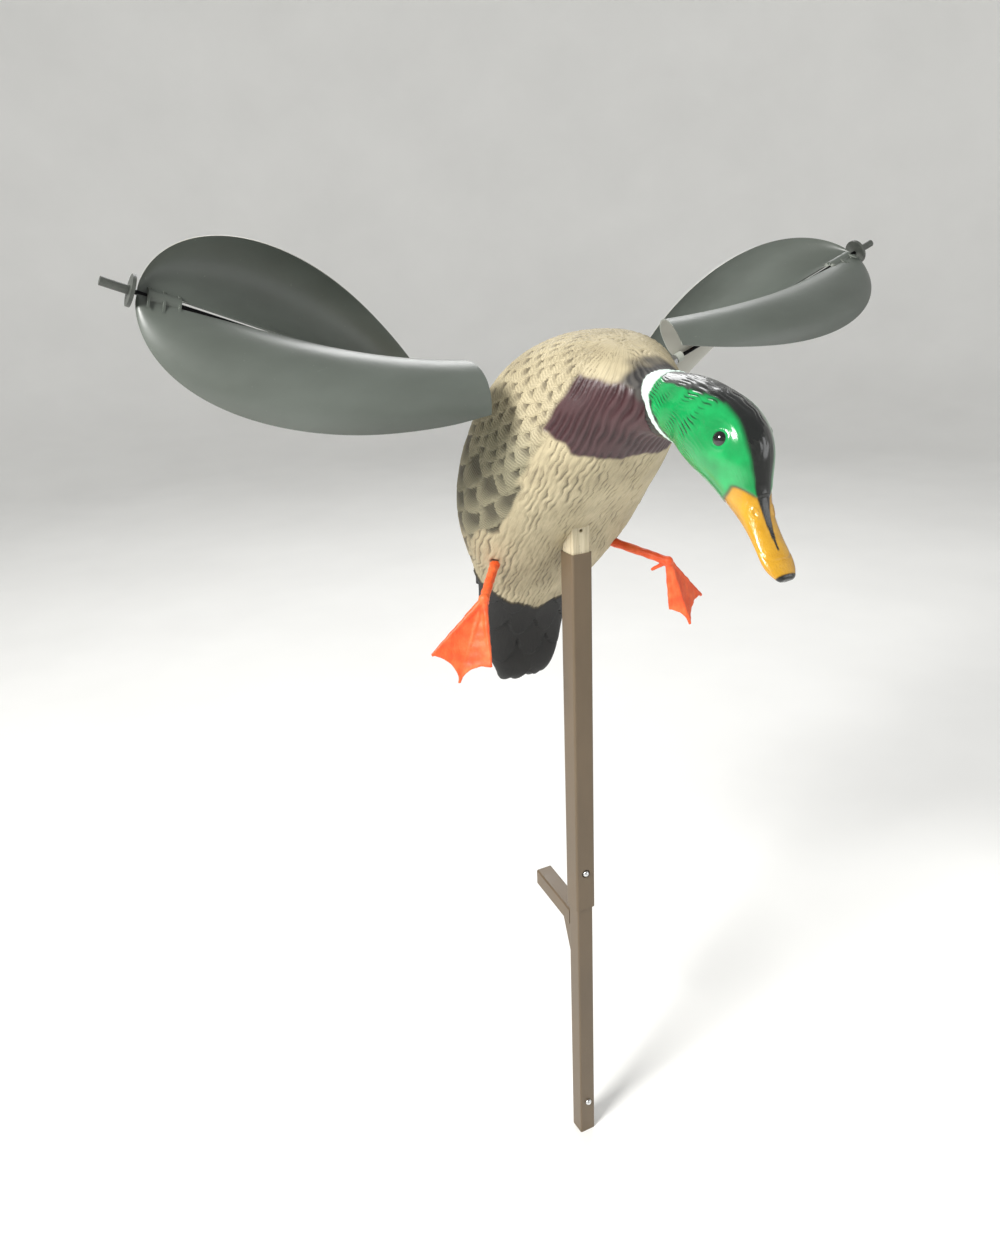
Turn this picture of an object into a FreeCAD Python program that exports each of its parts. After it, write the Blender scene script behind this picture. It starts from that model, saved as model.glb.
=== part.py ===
"""Wind-driven duck decoy on a two-piece square pole.  Millimetres, +Z up, the bill points to -Y.
The origin is the centre of the lower tube's open bottom end."""
import FreeCAD
import Part
import math
import os
from FreeCAD import Vector

os.makedirs("parts", exist_ok=True)

# ---- pole ---------------------------------------------------------------------------------------
LOWER_TUBE_SIDE = 15.9
TUBE_WALL = 1.25
TUBE_FIT = 0.325                 # all round, lower tube in upper tube
TUBE_CORNER = 1.6
UPPER_TUBE_START = 263.4
UPPER_TUBE_LENGTH = 336.4
TUBE_INSERT = 74.0              # lower tube inside the upper tube

BUTTON_RADIUS = 3.1
BUTTON_STAND = 2.2              # dome height outside the upper tube's face
BUTTON_SETBACK = 36.5           # from each end of the lower tube
BUTTON_CLEARANCE = 0.06         # button in the lower tube's own hole
OUTER_HOLE_CLEARANCE = 0.9      # button in the upper tube's hole
BUTTON_HEAD_RADIUS = 4.4
BUTTON_HEAD_THICKNESS = 1.0
CLIP_THICKNESS = 0.5            # spring strip
CLIP_WIDTH = 7.0
CLIP_LENGTH = 24.0
CLIP_GAP = 0.3                  # between the pressed button and the strip's back leg

FOOT_PEG_REACH = 68.0           # back end, from the pole's axis
FOOT_PEG_RISE = 8.0             # degrees
FOOT_PEG_UNDERSIDE = 238.5      # height of its lower face at the pole
GUSSET_KNEE = 21.5
GUSSET_FOOT = 204.0

# ---- mounting post under the body -----------------------------------------------------------------
POST_CLEARANCE = 0.2            # all round, in the upper tube
POST_CORNER = 1.2
POST_INSERT = 45.0
POST_HEIGHT = 74.0              # post above the upper tube's top
POST_MARK_HEIGHT = 19.0
YOKE_WIDTH = 24.0
YOKE_DEPTH = 17.0
YOKE_HEIGHT = 18.0
SOCKET_RADIUS = 5.5
SOCKET_END = 40.0
SCREW_RADIUS = 1.6
SET_SCREW_RADIUS = 1.5

# ---- rods, caps and the wings' pivot ---------------------------------------------------------------
ROD_RADIUS = 1.5875
ROD_Y = 25.9
ROD_HEIGHT = 94.7               # where the two rods' axes meet, above the upper tube's top
DIHEDRAL = 21.5
ROD_INNER_END = 10.0
ROD_END_STAND = 14.2             # rod end past the stop cap's inner face
CAP_GAP = 2.3                    # wing's tip to the stop cap
CAP_DISC_RADIUS = 10.35
CAP_DISC_THICKNESS = 2.3
CAP_BARREL_RADIUS = 2.9
CAP_LENGTH = 20.0
BEARING_CLEARANCE = 0.06

# ---- wings: S-shaped sheets, deep at the root, flattening to a round tip -----------------------------
WING_ROOT = 123.0
WING_TIP = 326.5
WING_HALF_WIDTH = 93.6
WING_THICKNESS = 1.1
HUB_RADIUS = 4.8
HUB_LENGTH = 21.0
HUB_SETBACK = 6.5               # from the wing's tip
RIB_REACH = 12.0
RIB_THICKNESS = 1.5
SLOT_WIDTH = 9.6
SLOT_LENGTH = 78.0
ROOT_EYE_RADIUS = 4.0
ROOT_EYE_LENGTH = 6.0
COLLAR_RADIUS = 4.0
COLLAR_LENGTH = 6.0
COLLAR_GAP = 1.2                 # end play before the slanted root of the sheet
ROD_OFFSET = 3.2                # sheet behind the rod's axis at the root
ROOT_ANGLE = 113.4              # direction in which the sheet leaves the axis, degrees
TIP_ANGLE = 12.7
ANGLE_BULGE = -34.9
ROOT_CURL = 149.9              # turn from the axis to the free edge, degrees
TIP_CURL = 57.0
CURL_BULGE = -6.7
CURL_POWER = 1.35
FLATTEN_POWER = 2.45
ROOT_FLARE = 1.134
FLARE_END = 0.82
TIP_START = 0.278
TIP_CUT = 0.9985
ROOT_SLANT = -28.3
REST_TURN = {-1: -58.2, 1: -25.0}    # where each free wing stands at rest, degrees
WING_ROWS = 18
SECTION_POINTS = 12

# ---- body ------------------------------------------------------------------------------------------
BODY_WIDTH = 154.0
BODY_DEPTH = 128.0              # breast to back, square to the body's slope
BODY_SQUARENESS = 2.4
SHELL_WALL = 2.2
RUMP_WALL = 9.0                 # closed end of the hollow, above the tail
SHELL_HOLE_CLEARANCE = 0.8      # rods through the shell
# belly line from tail tip to neck: y, height above the upper tube, tilt, shares of half width and depth
BODY_STATIONS = [
    (98, -145, 84, 0.27, 0.12),
    (82, -112, 82, 0.46, 0.24),
    (70, -74, 74, 0.55, 0.34),
    (40, -36, 60, 0.77, 0.46),
    (13, -2, 52, 1.02, 0.65),
    (-14, 27, 45, 1.05, 0.86),
    (-44, 52, 38, 0.94, 0.97),
    (-70, 76, 28, 0.75, 0.85),
    (-89, 94, 16, 0.54, 0.62),
    (-104, 106, 6, 0.37, 0.40),
    (-121, 110, -4, 0.27, 0.33),
]
FIRST_HOLLOW_STATION = 3
HEAD_WIDTH = 47.0
HEAD_DEPTH = 55.0
# centre line from the neck to the bill's base: y, height, slope, shares of half width and depth
HEAD_STATIONS = [
    (-121, 131, 4, 0.88, 0.76),
    (-140, 129.5, 14, 0.89, 0.83),
    (-160, 124, 26, 0.98, 0.94),
    (-180, 115, 36, 1.00, 1.03),
    (-197, 100, 46, 0.79, 0.89),
    (-204, 85, 48, 0.58, 0.60),
]
LAST_HOLLOW_STATION = 4
BILL_WIDTH = 23.0
BILL_DEPTH = 19.0
BILL_STATIONS = [
    (-213, 71, 43, 0.98, 1.00),
    (-225, 56, 40, 1.00, 0.63),
    (-235, 45, 40, 0.88, 0.42),
    (-240, 40, 40, 0.45, 0.22),
]
SPIGOT_LENGTH = 12.0
SPIGOT_CLEARANCE = 0.2
EYE_RADIUS = 5.4
EYE_Y = -195.0
EYE_HEIGHT = 119.7
EYE_SPREAD = 16.2
EYE_CLEARANCE = 0.05

# ---- legs: points of the duck's right leg, x mirrored for the left one ---------------------------------
HIP_INSET = 27.0                 # hip, in from the body's widest point
HIP = (0.0, 42.0, -6.0)
ANKLE = (37.0, -6.0, -22.0)
TOE_TIPS = {-1: [(80.0, 3.0, -63.0), (62.0, -6.0, -87.0), (42.0, -23.0, -72.0)],
            1: [(80.0, 3.0, -63.0), (54.0, -16.0, -79.0), (40.0, -6.0, -66.0)]}
HIND_TOE = (28.0, 6.0, -31.0)
SHANK_RADIUS = 3.6
ANKLE_RADIUS = 4.4
TOE_RADIUS = 2.2
TOE_TIP_RADIUS = 1.3
WEB_THICKNESS = 2.2
WEB_SCALLOP = 0.2               # dip of the web's rim, as a share of the gap between two toe tips
LEG_PLUG_DEPTH = 9.0
LEG_CLEARANCE = 0.15

# ---- derived places ----------------------------------------------------------------------------------
UPPER_TUBE_SIDE = LOWER_TUBE_SIDE + 2 * TUBE_FIT + 2 * TUBE_WALL
LOWER_TUBE_LENGTH = UPPER_TUBE_START + TUBE_INSERT
UPPER_TUBE_TOP = UPPER_TUBE_START + UPPER_TUBE_LENGTH
UPPER_VOID = UPPER_TUBE_SIDE - 2 * TUBE_WALL
LOWER_VOID = LOWER_TUBE_SIDE - 2 * TUBE_WALL
ROD_Z = UPPER_TUBE_TOP + ROD_HEIGHT
CAP_START = WING_TIP + CAP_GAP
ROD_OUTER_END = CAP_START + ROD_END_STAND
POST_TOP = UPPER_TUBE_TOP + POST_HEIGHT
POST_SIDE = UPPER_VOID - 2 * POST_CLEARANCE
BUTTON_TIP = UPPER_TUBE_SIDE / 2 + BUTTON_STAND
LOWER_BUTTON_Z = BUTTON_SETBACK
UPPER_BUTTON_Z = LOWER_TUBE_LENGTH - BUTTON_SETBACK
X_AXIS = Vector(1, 0, 0)
Y_AXIS = Vector(0, 1, 0)
Z_AXIS = Vector(0, 0, 1)
SIDES = {"right": -1, "left": 1}     # the duck's own right side is -X
SECTION_STEPS = 32


# ---- helpers -------------------------------------------------------------------------------------------
def save(shape, name):
    """Write one node after checking that it is a closed, valid solid."""
    if not shape.isValid() or shape.Volume <= 0:
        raise ValueError(name + " is not a valid solid")
    shape.exportStep("parts/" + name + ".step")
    print(name, "solids", len(shape.Solids), "volume", round(shape.Volume, 1))


def square_bar(side, corner, bottom, top):
    """Upright square bar with rounded long edges, centred on the pole's axis."""
    bar = Part.makeBox(side, side, top - bottom, Vector(-side / 2, -side / 2, bottom))
    upright = [e for e in bar.Edges if abs(e.tangentAt(e.FirstParameter).z) > 0.9]
    return bar.makeFillet(corner, upright)


def square_tube(side, wall, corner, bottom, top):
    """Upright square tube."""
    outer = square_bar(side, corner, bottom, top)
    inner = square_bar(side - 2 * wall, max(corner - wall, wall / 4), bottom - 1, top + 1)
    return outer.cut(inner)


def cylinder(radius, length, start, direction):
    return Part.makeCylinder(radius, length, start, direction)


def rod_direction(side):
    angle = math.radians(DIHEDRAL)
    return Vector(side * math.cos(angle), 0, math.sin(angle))


def rod_point(side, station):
    """Point on a rod's axis, at a distance from where the two axes meet."""
    return Vector(0, ROD_Y, ROD_Z) + rod_direction(side) * station


def rod_cylinder(side, radius, start, end):
    return cylinder(radius, end - start, rod_point(side, start), rod_direction(side))


def one_solid(shape):
    """The single solid in a result that may be wrapped in a compound."""
    solids = shape.Solids
    return solids[0] if len(solids) == 1 else shape


# ---- pole ----------------------------------------------------------------------------------------------
def make_lower_tube():
    tube = square_tube(LOWER_TUBE_SIDE, TUBE_WALL, TUBE_CORNER, 0, LOWER_TUBE_LENGTH)
    for height in (LOWER_BUTTON_Z, UPPER_BUTTON_Z):
        hole = cylinder(BUTTON_RADIUS + BUTTON_CLEARANCE, LOWER_TUBE_SIDE, Vector(0, 0, height), -Y_AXIS)
        tube = tube.cut(hole)
    return one_solid(tube)


def make_upper_tube():
    corner = TUBE_CORNER + TUBE_WALL / 2
    tube = square_tube(UPPER_TUBE_SIDE, TUBE_WALL, corner, UPPER_TUBE_START, UPPER_TUBE_TOP)
    hole = cylinder(BUTTON_RADIUS + OUTER_HOLE_CLEARANCE, UPPER_TUBE_SIDE, Vector(0, 0, UPPER_BUTTON_Z), -Y_AXIS)
    return one_solid(tube.cut(hole))


def make_button(height):
    """Domed button with a head inside the tube that stops it falling out."""
    dome_start = -(BUTTON_TIP - BUTTON_RADIUS)
    inner_wall = -(LOWER_VOID / 2)
    stem = cylinder(BUTTON_RADIUS, inner_wall - dome_start, Vector(0, dome_start, height), Y_AXIS)
    dome = Part.makeSphere(BUTTON_RADIUS, Vector(0, dome_start, height))
    head = cylinder(BUTTON_HEAD_RADIUS, BUTTON_HEAD_THICKNESS, Vector(0, inner_wall, height), Y_AXIS)
    return one_solid(stem.fuse(dome).fuse(head).removeSplitter())


def make_button_clip(height):
    """Bent spring strip: its back leg lies on the rear wall and its bend stands below the button."""
    back = LOWER_VOID / 2
    half = CLIP_WIDTH / 2
    foot = height - CLIP_LENGTH
    leg = Part.makeBox(CLIP_WIDTH, CLIP_THICKNESS, CLIP_LENGTH + 4, Vector(-half, back - CLIP_THICKNESS, foot))
    bend = Part.makeBox(CLIP_WIDTH, 2 * back, CLIP_THICKNESS, Vector(-half, -back, foot))
    rise_length = CLIP_LENGTH - BUTTON_HEAD_RADIUS - CLIP_GAP
    rise = Part.makeBox(CLIP_WIDTH, CLIP_THICKNESS, rise_length, Vector(-half, -back, foot))
    return one_solid(leg.fuse(bend).fuse(rise).removeSplitter())


def make_foot_peg():
    """Square tube that sticks out behind the pole to press it into the ground with a boot."""
    slope = math.tan(math.radians(FOOT_PEG_RISE))
    half = LOWER_TUBE_SIDE / 2
    face = half

    def side_view(y, inset):
        return FOOT_PEG_UNDERSIDE + slope * (y - face) + inset

    def prism(inset, start, end):
        height = LOWER_TUBE_SIDE - 2 * inset
        points = [Vector(0, start, side_view(start, inset)), Vector(0, end, side_view(end, inset)),
                  Vector(0, end, side_view(end, inset) + height), Vector(0, start, side_view(start, inset) + height)]
        outline = Part.Face(Part.makePolygon(points + points[:1]))
        solid = outline.extrude(Vector(LOWER_TUBE_SIDE - 2 * inset, 0, 0))
        solid.translate(Vector(-(half - inset), 0, 0))
        return solid

    outer = prism(0, face, FOOT_PEG_REACH)
    long_edges = [e for e in outer.Edges if e.Length > (FOOT_PEG_REACH - face) * 0.9]
    outer = outer.makeFillet(TUBE_CORNER, long_edges)
    inner = prism(TUBE_WALL, face - 1, FOOT_PEG_REACH + 1)
    return one_solid(outer.cut(inner))


def make_peg_gusset():
    """Welded web that carries the peg's load down onto the lower tube."""
    slope = math.tan(math.radians(FOOT_PEG_RISE))
    face = LOWER_TUBE_SIDE / 2
    points = [Vector(0, face, GUSSET_FOOT), Vector(0, GUSSET_KNEE, FOOT_PEG_UNDERSIDE + slope * (GUSSET_KNEE - face)),
              Vector(0, face, FOOT_PEG_UNDERSIDE)]
    web = Part.Face(Part.makePolygon(points + points[:1])).extrude(Vector(LOWER_TUBE_SIDE - 2 * TUBE_CORNER, 0, 0))
    web.translate(Vector(-(LOWER_TUBE_SIDE / 2 - TUBE_CORNER), 0, 0))
    return web


# ---- mounting post, yoke and rods ------------------------------------------------------------------------
def make_mounting_post():
    """Square peg that drops into the upper tube and carries the yoke; its top follows the belly inside."""
    bottom = UPPER_TUBE_TOP - POST_INSERT
    post = square_bar(POST_SIDE, POST_CORNER, bottom, POST_TOP)
    screw_hole = cylinder(SCREW_RADIUS, 8, Vector(0, -POST_SIDE / 2 - 1, UPPER_TUBE_TOP + POST_MARK_HEIGHT), Y_AXIS)
    return one_solid(post.cut(screw_hole).cut(yoke_screw(0.0)))


def make_yoke():
    """Moulded block on the post's top, with a socket arm for each rod."""
    seat_y = ROD_Y
    block = Part.makeBox(YOKE_WIDTH, seat_y + YOKE_DEPTH, YOKE_HEIGHT,
                         Vector(-YOKE_WIDTH / 2, -YOKE_DEPTH / 2, POST_TOP))
    for side in SIDES.values():
        block = block.fuse(rod_cylinder(side, SOCKET_RADIUS, 0, SOCKET_END))
    for side in SIDES.values():
        block = block.cut(rod_cylinder(side, ROD_RADIUS, ROD_INNER_END, SOCKET_END + 1))
        block = block.cut(set_screw(side, 0.0))
    block = block.cut(yoke_screw(0.0))
    return one_solid(block.removeSplitter())


def yoke_screw(extra):
    """Countersunk screw down through the yoke into the post."""
    top = POST_TOP + YOKE_HEIGHT
    shank = cylinder(SCREW_RADIUS + extra, YOKE_HEIGHT + 16, Vector(0, 0, top), -Z_AXIS)
    head = Part.makeCone(2 * SCREW_RADIUS + extra, SCREW_RADIUS + extra, SCREW_RADIUS, Vector(0, 0, top), -Z_AXIS)
    return shank.fuse(head)


def set_screw(side, extra):
    """Grub screw that clamps a rod in its socket."""
    across = rod_direction(side).cross(Y_AXIS)
    if across.z < 0:
        across = across * -1
    start = rod_point(side, SOCKET_END - 6) + across * ROD_RADIUS
    return cylinder(SET_SCREW_RADIUS + extra, SOCKET_RADIUS - ROD_RADIUS + 1.5, start, across)


def make_rod(side):
    return rod_cylinder(side, ROD_RADIUS, ROD_INNER_END, ROD_OUTER_END)


def make_cap(side):
    """Disc and barrel pushed onto the rod's end; the disc keeps the wing on."""
    disc = rod_cylinder(side, CAP_DISC_RADIUS, CAP_START, CAP_START + CAP_DISC_THICKNESS)
    barrel = rod_cylinder(side, CAP_BARREL_RADIUS, CAP_START, CAP_START + CAP_LENGTH)
    return one_solid(disc.fuse(barrel).cut(rod_cylinder(side, ROD_RADIUS, CAP_START - 1, ROD_OUTER_END)))


def make_collar(side):
    """Stop collar on the rod, just inside the wing's root eye."""
    end = WING_ROOT - COLLAR_GAP
    collar = rod_cylinder(side, COLLAR_RADIUS, end - COLLAR_LENGTH, end)
    return one_solid(collar.cut(rod_cylinder(side, ROD_RADIUS, end - COLLAR_LENGTH - 1, end + 1)))


# ---- wings ---------------------------------------------------------------------------------------------------
def wing_half_width(along):
    """Developed half width: nearly even, then a round tip."""
    flare = min(1.0, ROOT_FLARE + (1 - ROOT_FLARE) * math.sin(math.pi / 2 * min(1.0, along / FLARE_END)))
    past = max(0.0, (along - TIP_START) / (1 - TIP_START))
    return WING_HALF_WIDTH * flare * math.sqrt(max(0.0, 1 - past ** 2))


def wing_blend(along, root, tip, bulge):
    share = along ** FLATTEN_POWER
    return math.radians(root + (tip - root) * share + bulge * 4 * along * (1 - along))


def wing_section(along, side):
    """Half of one cross-section as (forward, up, angle) triples, from the rod's axis to the edge."""
    start = wing_blend(along, ROOT_ANGLE, TIP_ANGLE, ANGLE_BULGE) + math.radians(REST_TURN[side])
    curl = wing_blend(along, ROOT_CURL, TIP_CURL, CURL_BULGE)
    half = wing_half_width(along)
    places = []
    forward, up = 0.0, 0.0
    steps = SECTION_POINTS * 8
    for step in range(steps + 1):
        angle = start - curl * (step / steps) ** CURL_POWER
        if step % 8 == 0:
            places.append((forward, up, angle))
        middle = start - curl * ((step + 0.5) / steps) ** CURL_POWER
        forward += math.cos(middle) * half / steps
        up += math.sin(middle) * half / steps
    return places, start


def wing_points(along, side, lift):
    """One row of surface points across the sheet, lifted off its middle surface by lift."""
    places, start = wing_section(along, side)
    share = 1 - along ** FLATTEN_POWER
    offset = ROD_OFFSET * share + lift
    near_half = [(f, u, a, i) for i, (f, u, a) in enumerate(places)]
    far_half = [(-f, -u, a, -i) for f, u, a, i in near_half[:0:-1]]
    row = []
    direction = rod_direction(side)
    upward = Vector(-side * math.sin(math.radians(DIHEDRAL)), 0, math.cos(math.radians(DIHEDRAL)))
    base = WING_ROOT + (WING_TIP - WING_ROOT) * along
    for forward, up, angle, index in far_half + near_half:
        forward += -math.sin(start) * ROD_OFFSET * share - math.sin(angle) * lift
        up += math.cos(start) * ROD_OFFSET * share + math.cos(angle) * lift
        station = base + ROOT_SLANT * abs(index) / SECTION_POINTS * (1 - along)
        row.append(Vector(0, ROD_Y, ROD_Z) + direction * station - Y_AXIS * forward + upward * up)
    return row


def make_blade(side):
    """Thin sheet between two smooth surfaces, closed by ruled faces along its four edges."""
    rows = [1 - (1 - i / WING_ROWS) ** 1.6 for i in range(WING_ROWS)] + [TIP_CUT]
    surfaces = []
    for lift in (WING_THICKNESS / 2, -WING_THICKNESS / 2):
        surface = Part.BSplineSurface()
        surface.interpolate([wing_points(along, side, lift) for along in rows])
        surfaces.append(surface)
    faces = [surface.toShape() for surface in surfaces]
    for rim in (lambda s: s.uIso(s.bounds()[0]), lambda s: s.uIso(s.bounds()[1]),
                lambda s: s.vIso(s.bounds()[2]), lambda s: s.vIso(s.bounds()[3])):
        faces.append(rim(surfaces[0]).makeRuledSurface(rim(surfaces[1])).toShape())
    shell = Part.makeShell(faces)
    shell.sewShape(1e-4)
    solid = Part.makeSolid(shell)
    if solid.Volume < 0:
        solid.reverse()
    return solid


def hub_frame(side):
    """Directions across the hub: along the sheet and square to it, at the hub's middle."""
    along = (WING_TIP - HUB_SETBACK - HUB_LENGTH / 2 - WING_ROOT) / (WING_TIP - WING_ROOT)
    angle = wing_section(along, side)[1]
    upward = Vector(-side * math.sin(math.radians(DIHEDRAL)), 0, math.cos(math.radians(DIHEDRAL)))
    across = -Y_AXIS * math.cos(angle) + upward * math.sin(angle)
    face = Y_AXIS * math.sin(angle) + upward * math.cos(angle)
    return across, face


def make_wing(side):
    """Moulded wing: blade, tip hub with gusset ribs, slot for the rod, and a bearing eye at the root."""
    hub_end = WING_TIP - HUB_SETBACK
    hub_start = hub_end - HUB_LENGTH
    across, face = hub_frame(side)
    blade = make_blade(side)
    direction = rod_direction(side)
    slot = Part.makeBox(SLOT_WIDTH, 60, SLOT_LENGTH)
    slot.translate(Vector(-SLOT_WIDTH / 2, -30, 0))
    slot.Placement = FreeCAD.Placement(rod_point(side, hub_start - SLOT_LENGTH),
                                       FreeCAD.Rotation(across, face, direction, "ZXY")).multiply(slot.Placement)
    wing = blade.cut(slot)
    parts = [rod_cylinder(side, HUB_RADIUS, hub_start, hub_end)]
    for index in range(3):
        station = hub_start + RIB_THICKNESS / 2 + index * (HUB_LENGTH - RIB_THICKNESS) / 2
        for way in (-1, 1):
            base = rod_point(side, station - RIB_THICKNESS / 2)
            corners = [base + face * HUB_RADIUS, base + across * (way * RIB_REACH) + face * (WING_THICKNESS / 2 - 0.3),
                       base - face * (WING_THICKNESS / 2 - 0.3)]
            parts.append(Part.Face(Part.makePolygon(corners + corners[:1])).extrude(direction * RIB_THICKNESS))
    parts.append(rod_cylinder(side, ROOT_EYE_RADIUS, WING_ROOT, WING_ROOT + ROOT_EYE_LENGTH))
    for piece in parts:
        wing = wing.fuse(piece)
    wing = wing.cut(rod_cylinder(side, ROD_RADIUS + BEARING_CLEARANCE, WING_ROOT - 40, WING_TIP + 5))
    return wing


# ---- body shell and head -----------------------------------------------------------------------------------
def section(centre, across_half, up_half, up, squareness):
    """Closed rounded section: the X axis and up are its two directions."""
    points = []
    for step in range(SECTION_STEPS):
        angle = 2 * math.pi * step / SECTION_STEPS
        sine, cosine = math.sin(angle), math.cos(angle)
        across = math.copysign(abs(sine) ** (2 / squareness), sine) * across_half
        rise = math.copysign(abs(cosine) ** (2 / squareness), cosine) * up_half
        points.append(centre + X_AXIS * across + up * rise)
    curve = Part.BSplineCurve()
    curve.interpolate(Points=points, PeriodicFlag=True)
    return Part.Wire(curve.toShape())


def body_section(station, inset):
    y, height, tilt, wide, deep = station
    angle = math.radians(tilt)
    up = Vector(0, math.sin(angle), math.cos(angle))
    depth = BODY_DEPTH / 2 * deep
    centre = Vector(0, y, UPPER_TUBE_TOP + height) + up * depth
    return section(centre, BODY_WIDTH / 2 * wide - inset, depth - inset, up, BODY_SQUARENESS)


def head_section(station, inset, width, depth):
    y, height, slope, wide, deep = station
    angle = math.radians(slope)
    up = Vector(0, -math.sin(angle), math.cos(angle))
    centre = Vector(0, y, UPPER_TUBE_TOP + height)
    return section(centre, width / 2 * wide - inset, depth / 2 * deep - inset, up, 2.0)


def make_body_shell():
    """Hollow body with its tail, open at the neck, with holes for the post, rods and legs."""
    outer = Part.makeLoft([body_section(s, 0) for s in BODY_STATIONS], True)
    hollow = BODY_STATIONS[FIRST_HOLLOW_STATION:]
    insets = [RUMP_WALL, (RUMP_WALL + SHELL_WALL) / 2] + [SHELL_WALL] * (len(hollow) - 2)
    inner = Part.makeLoft([body_section(s, inset) for s, inset in zip(hollow, insets)], True)
    shell = outer.cut(inner)
    neck = Part.Face(body_section(BODY_STATIONS[-1], SHELL_WALL)).extrude(Vector(0, -2, 0))
    shell = shell.cut(neck)
    seat = Part.Face(head_section(HEAD_STATIONS[0], SHELL_WALL, HEAD_WIDTH, HEAD_DEPTH))
    shell = shell.cut(seat.extrude(Vector(0, SPIGOT_LENGTH + SPIGOT_CLEARANCE, 0)))
    post_hole = square_bar(POST_SIDE + 2 * POST_CLEARANCE, POST_CORNER, UPPER_TUBE_TOP - 5, POST_TOP)
    shell = shell.cut(post_hole)
    for side in SIDES.values():
        shell = shell.cut(rod_cylinder(side, ROD_RADIUS + SHELL_HOLE_CLEARANCE, SOCKET_END + 1, WING_ROOT - 2))
        shell = shell.cut(leg_plug(side, LEG_CLEARANCE))
    return one_solid(shell)


def make_head():
    """Hollow head and bill with a spigot that plugs into the neck."""
    head_wires = [head_section(s, 0, HEAD_WIDTH, HEAD_DEPTH) for s in HEAD_STATIONS]
    bill_wires = [head_section(s, 0, BILL_WIDTH, BILL_DEPTH) for s in BILL_STATIONS]
    head = Part.makeLoft(head_wires + bill_wires, True)
    hollow = [head_section(HEAD_STATIONS[0], 2 * SHELL_WALL, HEAD_WIDTH, HEAD_DEPTH)]
    for station in HEAD_STATIONS[1:LAST_HOLLOW_STATION + 1]:
        hollow.append(head_section(station, SHELL_WALL, HEAD_WIDTH, HEAD_DEPTH))
    head = head.cut(Part.makeLoft(hollow, True))
    bore = Part.Face(head_section(HEAD_STATIONS[0], 2 * SHELL_WALL, HEAD_WIDTH, HEAD_DEPTH))
    spigot = Part.Face(head_section(HEAD_STATIONS[0], SHELL_WALL + SPIGOT_CLEARANCE, HEAD_WIDTH, HEAD_DEPTH))
    back = Vector(0, SPIGOT_LENGTH, 0)
    head = head.fuse(spigot.extrude(back).cut(bore.extrude(back * 1.2)))
    for side in SIDES.values():
        head = head.cut(Part.makeSphere(EYE_RADIUS + EYE_CLEARANCE, eye_centre(side)))
    return one_solid(head)


def eye_centre(side):
    return Vector(side * EYE_SPREAD, EYE_Y, UPPER_TUBE_TOP + EYE_HEIGHT)


def make_eye(side):
    return Part.makeSphere(EYE_RADIUS, eye_centre(side))


# ---- legs ------------------------------------------------------------------------------------------------------
def leg_point(side, place):
    return Vector(side * (BODY_WIDTH / 2 - HIP_INSET + place[0]), place[1], UPPER_TUBE_TOP + place[2])


def limb(start, end, start_radius, end_radius):
    """Tapered round limb from one point to another."""
    way = end - start
    return Part.makeCone(start_radius, end_radius, way.Length, start, way)


def leg_plug(side, extra):
    hip = leg_point(side, HIP)
    way = (leg_point(side, ANKLE) - hip).normalize()
    return cylinder(SHANK_RADIUS + 0.4 + extra, LEG_PLUG_DEPTH + 16, hip - way * LEG_PLUG_DEPTH, way)


def make_leg(side):
    """Soft leg: plug, shank, ankle, three webbed toes and a hind toe."""
    hip, ankle = leg_point(side, HIP), leg_point(side, ANKLE)
    tips = [leg_point(side, tip) for tip in TOE_TIPS[side]]
    pieces = [limb(hip, ankle, SHANK_RADIUS + 0.2, SHANK_RADIUS)]
    pieces.append(Part.makeSphere(ANKLE_RADIUS, ankle))
    pieces.append(limb(ankle, leg_point(side, HIND_TOE), TOE_RADIUS, TOE_TIP_RADIUS))
    for tip in tips:
        pieces.append(limb(ankle, tip, TOE_RADIUS + 0.6, TOE_TIP_RADIUS))
    for first, second in zip(tips, tips[1:]):
        middle = (first + second) * 0.5
        notch = middle + (ankle - middle).normalize() * (WEB_SCALLOP * (second - first).Length)
        normal = (first - ankle).cross(second - ankle).normalize()
        rim = Part.Arc(first, notch, second).toShape()
        outline = Part.Wire([Part.makeLine(ankle, first), rim, Part.makeLine(second, ankle)])
        outline.translate(normal * (-WEB_THICKNESS / 2))
        pieces.append(Part.Face(outline).extrude(normal * WEB_THICKNESS))
    leg = leg_plug(side, 0)
    for piece in pieces:
        leg = leg.fuse(piece)
    return one_solid(leg)


# ---- build ---------------------------------------------------------------------------------------------------------
save(make_lower_tube(), "lower_tube")
save(make_upper_tube(), "upper_tube")
save(make_foot_peg(), "foot_peg")
save(make_peg_gusset(), "peg_gusset")
for place, height in (("lower", LOWER_BUTTON_Z), ("upper", UPPER_BUTTON_Z)):
    save(make_button(height), "snap_button_" + place)
    save(make_button_clip(height), "button_clip_" + place)
save(make_mounting_post(), "mounting_post")
save(make_yoke(), "rod_yoke")
save(yoke_screw(0.0), "yoke_screw")
save(make_body_shell(), "body_shell")
save(make_head(), "head")
for name, side in SIDES.items():
    save(make_eye(side), "eye_" + name)
    save(make_leg(side), "leg_" + name)
    save(make_rod(side), "rod_" + name)
    save(set_screw(side, 0.0), "set_screw_" + name)
    save(make_collar(side), "collar_" + name)
    save(make_cap(side), "end_cap_" + name)
    save(make_wing(side), "wing_" + name)
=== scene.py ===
import math

import bmesh
import bpy
import numpy as np
from mathutils import Matrix, Vector
from mathutils.kdtree import KDTree


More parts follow.
